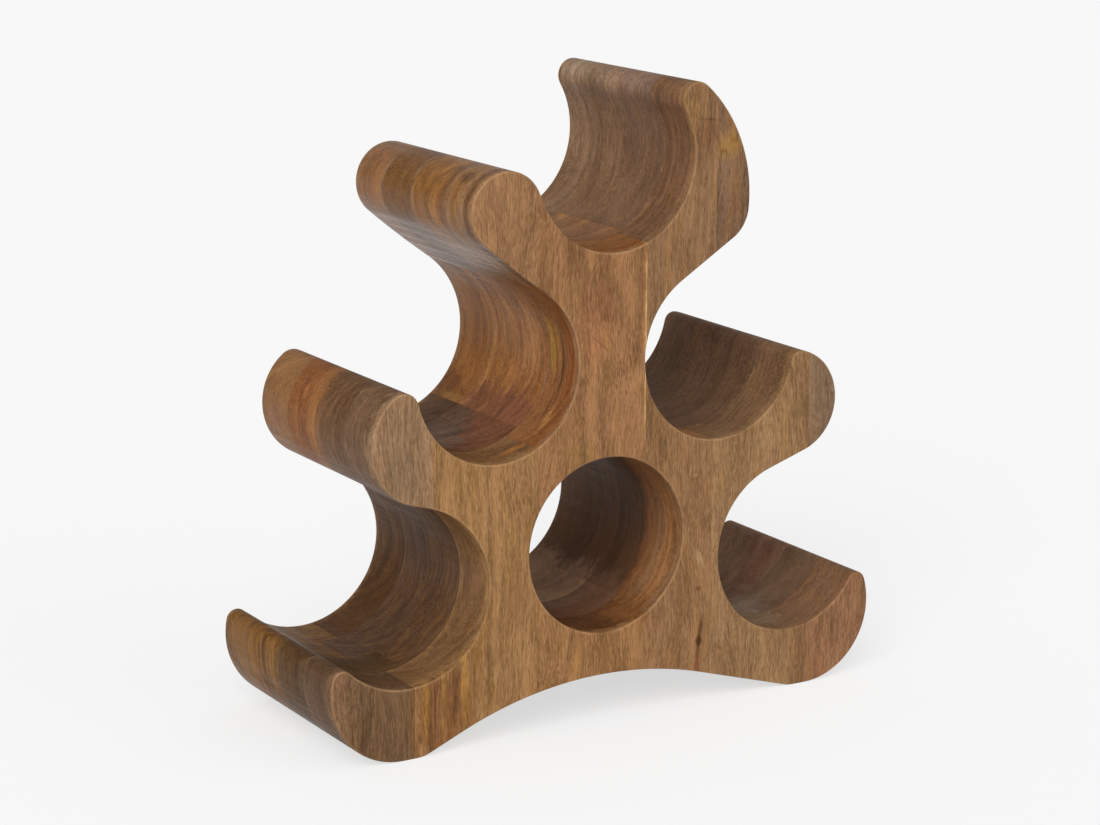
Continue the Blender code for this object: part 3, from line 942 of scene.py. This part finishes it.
@dataclass
class SawnOutline:
    """The saw line through one layer, read from its boards and rounded back from their facets.

    Facets whose lengths differ by less than the like share lie on one arc and turn alike. The
    others are tied to each other by the loose weight alone.
    """

    layer: Layer
    step: float = 1.8 * MM
    flatness: float = 0.001 * MM
    straight: float = 1e-6
    like_share: float = 0.01
    loose_weight: float = 0.001

    def read(self) -> list[np.ndarray]:
        """Read the saw line's closed loops, the outer one first.

        Returns:
            Arrays of points across and up, with the wood on the left of the way they run.
        """
        edges = self.open_edges()
        follow = dict(edges)
        starts = set(follow)
        ends = {end for _, end in edges}
        # Glue lines break the saw line: their loose ends are joined, and aren't corners of it
        loose_starts = sorted(starts - ends)
        for end in sorted(ends - starts):
            start = min(loose_starts, key=lambda point: math.dist(point, end))
            loose_starts.remove(start)
            follow[end] = start
        joints = starts ^ ends
        loops = []
        while follow:
            loop = []
            point = min(follow)
            while point in follow:
                loop.append(point)
                point = follow.pop(point)
            loops.append(self.rounded(np.array([point for point in loop if point not in joints])))
        return sorted(loops, key=len, reverse=True)

    def open_edges(self) -> list[tuple[tuple[float, float], tuple[float, float]]]:
        """Find the edges of the boards' front faces that lie on the saw line.

        Returns:
            Directed edges, each a start and an end across and up in metres.
        """
        edges = []
        joints = []
        for board in Board:
            node = frame["nodes"][f"{self.layer.value}_{board.value}"]
            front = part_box(node.name)[0].y
            mesh = node.data
            used = set()
            for polygon in mesh.polygons:
                points = [mesh.vertices[index].co for index in polygon.vertices]
                if max(abs(point.y - front) for point in points) > self.flatness:
                    continue
                flat = [(round(point.x, 6), round(point.z, 6)) for point in points]
                used.update(zip(flat, flat[1:] + flat[:1]))
            for start, end in used:
                if (end, start) in used:
                    continue
                upright = abs(start[0] - end[0]) < 2 * self.flatness
                (joints if upright else edges).append((start, end))
        # Upright edges that face each other lie at a glue line, and any others on the saw line
        for start, end in joints:
            middle = (start[1] + end[1]) / 2
            faced = any(
                0 < abs(start[0] - other[0]) < 2 * GLUE_GAP
                and min(other[1], last[1]) < middle < max(other[1], last[1])
                for other, last in joints
            )
            if not faced:
                edges.append((start, end))
        return edges

    def rounded(self, corners: np.ndarray) -> np.ndarray:
        """Put the arcs back in place of a loop's facets.

        Args:
            corners: The loop's corners, which all lie on the true arcs.

        Returns:
            The loop in steps of about the chosen length.
        """
        chords = np.roll(corners, -1, 0) - corners
        lengths = np.hypot(*chords.T)
        headings = np.arctan2(chords[:, 1], chords[:, 0])
        turns = (headings - np.roll(headings, 1) + math.pi) % (2 * math.pi) - math.pi
        count = len(corners)
        meeting = np.zeros((count, count))
        steady = np.zeros((count, count))
        for here in range(count):
            before = here - 1
            meeting[here, [before, here]] = 0.5
            alike = abs(lengths[here] - lengths[before]) < self.like_share * lengths[here]
            weight = 1.0 if alike else self.loose_weight
            steady[here, before] = -weight
            steady[here, here] = weight
        rows = np.vstack([meeting, steady])
        sweeps = np.linalg.lstsq(rows, np.concatenate([turns, np.zeros(count)]), rcond=None)[0]
        points = []
        for corner, length, heading, sweep in zip(corners, lengths, headings, sweeps):
            steps = max(1, round(length / self.step))
            for index in range(steps):
                part = sweep * index / steps
                bent = abs(sweep) > self.straight
                reach = length * (math.sin(part / 2) / math.sin(sweep / 2) if bent else index / steps)
                angle = heading - sweep / 2 + part / 2
                points.append(corner + reach * np.array([math.cos(angle), math.sin(angle)]))
        return np.array(points)


@dataclass
class GluedLayer:
    """One layer of boards, sawn along the outline.

    Its boards touch, so that only the wood's own change shows where two of them are glued.
    """

    layer: Layer
    easing: float = 1.1 * MM
    easing_steps: int = 5
    margin: float = 1.0 * MM
    blade: float = 0.0001 * MM
    sawn: bmesh.types.BMesh | None = None

    def node(self, board: Board) -> str:
        """Name the CAD node of one of the layer's boards."""
        return f"{self.layer.value}_{board.value}"

    def rings(self) -> list[tuple[float, float, float]]:
        """List the depths at which the outline is repeated, from front to back.

        Returns:
            The depth, the inward offset and the share of the pale edge (scuffing and painted highlight) for
            each ring.
        """
        low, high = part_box(self.node(Board.TRUNK_BOARD))
        front = low.y if self.layer is Layer.FRONT else low.y - GLUE_GAP / 2
        back = high.y if self.layer is Layer.BACK else high.y + GLUE_GAP / 2
        corner = []
        for index in range(self.easing_steps + 1):
            angle = math.pi / 2 * index / self.easing_steps
            # The pale edge peaks half way round the eased corner: partly scuffing, partly a painted highlight
            scuff_and_highlight = math.sqrt(max(0.0, math.sin(2 * angle)))
            corner.append((self.easing * (1 - math.cos(angle)), self.easing * (1 - math.sin(angle)), scuff_and_highlight))
        nearer = [(front, 0.0, 0.0)]
        farther = [(back, 0.0, 0.0)]
        if self.layer is Layer.FRONT:
            nearer = [(front + depth, inward, eased) for depth, inward, eased in corner]
        if self.layer is Layer.BACK:
            farther = [(back - depth, inward, eased) for depth, inward, eased in reversed(corner)]
        return [*nearer, *farther]

    def saw(self, outline: SawnOutline) -> None:
        """Make the whole layer as one closed mesh, with its outer corner eased.

        Args:
            outline: The layer's saw line.
        """
        mesh = bmesh.new()
        # Each vertex keeps its share of the pale edge, partly scuffing and partly a painted highlight
        scuff_and_highlight = mesh.verts.layers.float.new("eased")
        rings = self.rings()
        low, high = (Vector(corner) for corner in CAD_BOX)
        caps: dict[int, list[bmesh.types.BMEdge]] = {0: [], len(rings) - 1: []}
        for loop in outline.read():
            ahead = np.roll(loop, -1, 0) - np.roll(loop, 1, 0)
            inward = np.column_stack([-ahead[:, 1], ahead[:, 0]]) / np.hypot(*ahead.T)[:, None]
            levels = []
            for depth, offset, eased in rings:
                placed = np.clip(loop + offset * inward, (low.x, low.z), (high.x, high.z))
                level = [mesh.verts.new((x, depth, z)) for x, z in placed]
                for vert in level:
                    vert[scuff_and_highlight] = eased
                levels.append(level)
            for nearer, farther in zip(levels, levels[1:]):
                for index in range(len(loop)):
                    following = (index + 1) % len(loop)
                    corners = (nearer[index], nearer[following], farther[following], farther[index])
                    mesh.faces.new(corners).smooth = True
            for number in caps:
                level = levels[number]
                caps[number] += [mesh.edges.get((level[i - 1], level[i])) for i in range(len(level))]
        for edges in caps.values():
            bmesh.ops.triangle_fill(mesh, use_beauty=True, use_dissolve=False, edges=edges)
        self.sawn = mesh

    def windows(self, board: Board) -> list[Corners]:
        """Find the upright windows that hold one board and no part of its neighbours.

        Args:
            board: The board.

        Returns:
            The lowest and highest corners of each window.
        """
        low, high = self.reach(board)
        if board is not Board.LEFT_SIDE_BOARD:
            return [(low, high)]
        # This board goes on to the foot's joint below the pocket and stops at the arm's above it
        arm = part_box(self.node(Board.MIDDLE_LEFT_ARM_TIP))
        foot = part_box(self.node(Board.LEFT_FOOT_TIP))
        middle = (arm[0].z + foot[1].z) / 2
        return [
            (Vector((foot[1].x + GLUE_GAP / 2, low.y, low.z)), Vector((high.x, high.y, middle))),
            (Vector((arm[1].x + GLUE_GAP / 2, low.y, middle)), high),
        ]

    def reach(self, board: Board) -> Corners:
        """Find a board's box, out to the middle of its glue lines or just past the saw line.

        Args:
            board: The board.

        Returns:
            The lowest and highest corners.
        """
        low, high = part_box(self.node(board))
        past_left = self.margin if board in LEFT_ENDS else GLUE_GAP / 2
        past_right = self.margin if board in RIGHT_ENDS else GLUE_GAP / 2
        near = Vector((past_left, self.margin, self.margin))
        far = Vector((past_right, self.margin, self.margin))
        return low - near, high + far

    def cut(self, board: Board) -> bpy.types.Object:
        """Cut one board out of the layer.

        Args:
            board: The board.

        Returns:
            The board's object, which rides on the body and stands for its CAD node.
        """
        mesh = self.sawn.copy()
        windows = self.windows(board)
        for corner in sum(windows, ()):
            for side in ((1, 0, 0), (0, 0, 1)):
                geometry = [*mesh.verts, *mesh.edges, *mesh.faces]
                bmesh.ops.bisect_plane(mesh, geom=geometry, dist=self.blade, plane_co=corner, plane_no=side)
        outside = []
        for face in mesh.faces:
            middle = face.calc_center_median()
            if not any(low.x < middle.x < high.x and low.z < middle.z < high.z for low, high in windows):
                outside.append(face)
        bmesh.ops.delete(mesh, geom=outside, context="FACES")
        open_edges = [edge for edge in mesh.edges if edge.is_boundary]
        bmesh.ops.holes_fill(mesh, edges=open_edges, sides=0)
        bmesh.ops.recalc_face_normals(mesh, faces=mesh.faces)
        for edge in mesh.edges:
            edge.smooth = all(face.smooth for face in edge.link_faces)
        data = bpy.data.meshes.new(f"{self.node(board)}_wood")
        mesh.to_mesh(data)
        mesh.free()
        piece = bpy.data.objects.new(data.name, data)
        bpy.context.scene.collection.objects.link(piece)
        return piece

    def build(self) -> list[bpy.types.Object]:
        """Build, dress and place every board of the layer.

        Returns:
            The boards' objects.
        """
        self.saw(SawnOutline(self.layer))
        slots = {row["node"]: row["material_slot"] for row in frame["record"]["subparts"]}
        pieces = []
        for number, board in enumerate(Board):
            piece = self.cut(board)
            slot = Tone(slots[self.node(board)])
            shift = BOARD_STEP * number + LAYER_STEP * list(Layer).index(self.layer)
            changes = {"shift": shift, **LAYER_WOODS[self.layer].get(board, {})}
            wood = replace(TONE_WOODS[slot], **changes)
            if self.layer is Layer.BACK:
                wood = replace(wood, stains_and_painted_light=(*wood.stains_and_painted_light, BACK_FACE))
            wood.dress(piece)
            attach(piece, BODY)
            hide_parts(self.node(board))
            log.info("%s: %d faces", piece.name, len(piece.data.polygons))
            pieces.append(piece)
        self.sawn.free()
        return pieces


@dataclass(frozen=True)
class Lamp:
    """A wide soft lamp, far off. Its level is what it adds to a white face turned towards it."""

    name: str
    towards: Point
    level: float
    spread: float

    def hang(self) -> None:
        """Put the lamp in the scene."""
        data = bpy.data.lights.new(self.name, "SUN")
        data.energy = self.level * math.pi
        data.angle = math.radians(self.spread)
        lamp = bpy.data.objects.new(self.name, data)
        lamp.rotation_euler = Vector(self.towards).to_track_quat("Z", "Y").to_euler()
        bpy.context.scene.collection.objects.link(lamp)


@dataclass
class Studio:
    """A pale floor that runs out of sight, even light, a soft lamp at the upper left and one at the right."""

    floor_size: float = 40.0
    floor_tint: str = "#F4F4F4"
    backdrop_tint: str = "#F8F8F8"
    floor_glow: float = 0.62
    glow_level: float = 1.12
    world_level: float = 0.46
    lamps: tuple[Lamp, ...] = (
        Lamp("key_lamp", (-0.62, -0.6, 0.7), 0.55, 40.0), Lamp("fill_lamp", (0.5, -0.8, 0.3), 0.17, 60.0)
    )

    def build(self) -> None:
        """Lay the floor and hang the lamps."""
        self.lay_floor()
        self.light_world()
        for lamp in self.lamps:
            lamp.hang()
        log.info("studio: floor, even light and %d lamps", len(self.lamps))

    def lay_floor(self) -> None:
        """Make the floor of matt paper, which has no shine and keeps the holder's soft shadow."""
        half = self.floor_size / 2
        corners = [(-half, -half, 0), (half, -half, 0), (half, half, 0), (-half, half, 0)]
        data = bpy.data.meshes.new("studio_floor")
        data.from_pydata(corners, [], [(0, 1, 2, 3)])
        floor = bpy.data.objects.new("studio_floor", data)
        bpy.context.scene.collection.objects.link(floor)
        material = bpy.data.materials.new("paper_backdrop_matt")
        material.use_nodes = True
        tree = material.node_tree
        tree.nodes.clear()
        rays = add_node(tree, "LightPath")
        seen = rays.outputs["Is Camera Ray"]
        for kind in ("Is Glossy Ray", "Is Transmission Ray"):
            seen = add_node(tree, "Math", {0: seen, 1: rays.outputs[kind]}, operation="MAXIMUM").outputs[0]
        share = add_node(tree, "Math", {0: seen, 1: self.floor_glow}, operation="MULTIPLY").outputs[0]
        paper = add_node(tree, "BsdfDiffuse", {"Color": linear(self.floor_tint)})
        glow = add_node(tree, "Emission", {"Color": linear(self.backdrop_tint), "Strength": self.glow_level})
        both = add_node(tree, "MixShader", {0: share, 1: paper.outputs[0], 2: glow.outputs[0]})
        add_node(tree, "OutputMaterial", {"Surface": both.outputs[0]})
        data.materials.append(material)

    def light_world(self) -> None:
        """Give the room its even light, and its pale colour where the camera sees it."""
        world = bpy.data.worlds.new("studio_air")
        bpy.context.scene.world = world
        world.use_nodes = True
        tree = world.node_tree
        tree.nodes.clear()
        rays = add_node(tree, "LightPath")
        level = add_node(
            tree, "MapRange", {"Value": rays.outputs["Is Camera Ray"], "To Min": self.world_level}
        ).outputs[0]
        air = add_node(tree, "Background", {"Color": linear(self.backdrop_tint), "Strength": level})
        add_node(tree, "OutputWorld", {"Surface": air.outputs[0]})


@dataclass
class PhotoCamera:
    """The camera at the photograph's viewing angle. Its distances are in millimetres."""

    location: Point = (-794.96, -1314.33, 517.14)
    forward: Point = (0.50278, 0.83328, -0.2299)
    roll: float = 0.244
    lens: float = 96.723

    def place(self) -> None:
        """Set up the camera."""
        ahead = Vector(self.forward).normalized()
        level = ahead.cross(Vector((0, 0, 1))).normalized()
        above = level.cross(ahead)
        turn = math.radians(self.roll)
        across = math.cos(turn) * level + math.sin(turn) * above
        upward = math.cos(turn) * above - math.sin(turn) * level
        data = bpy.data.cameras.new("photo_camera")
        data.lens = self.lens
        camera = bpy.data.objects.new("photo_camera", data)
        camera.matrix_world = Matrix.Translation(Vector(self.location) * MM) @ Matrix(
            (across, upward, -ahead)
        ).transposed().to_4x4()
        bpy.context.scene.collection.objects.link(camera)
        bpy.context.scene.camera = camera


def main() -> None:
    """Build the four layers of the block, the studio and the camera."""
    logging.basicConfig(level=logging.INFO, format="%(name)s: %(message)s")
    bpy.context.scene.view_settings.view_transform = "Standard"
    for layer in Layer:
        pieces = GluedLayer(layer).build()
        log.info("%s layer: %d boards", layer.value, len(pieces))
    Studio().build()
    PhotoCamera().place()


if __name__ == "__main__":
    main()
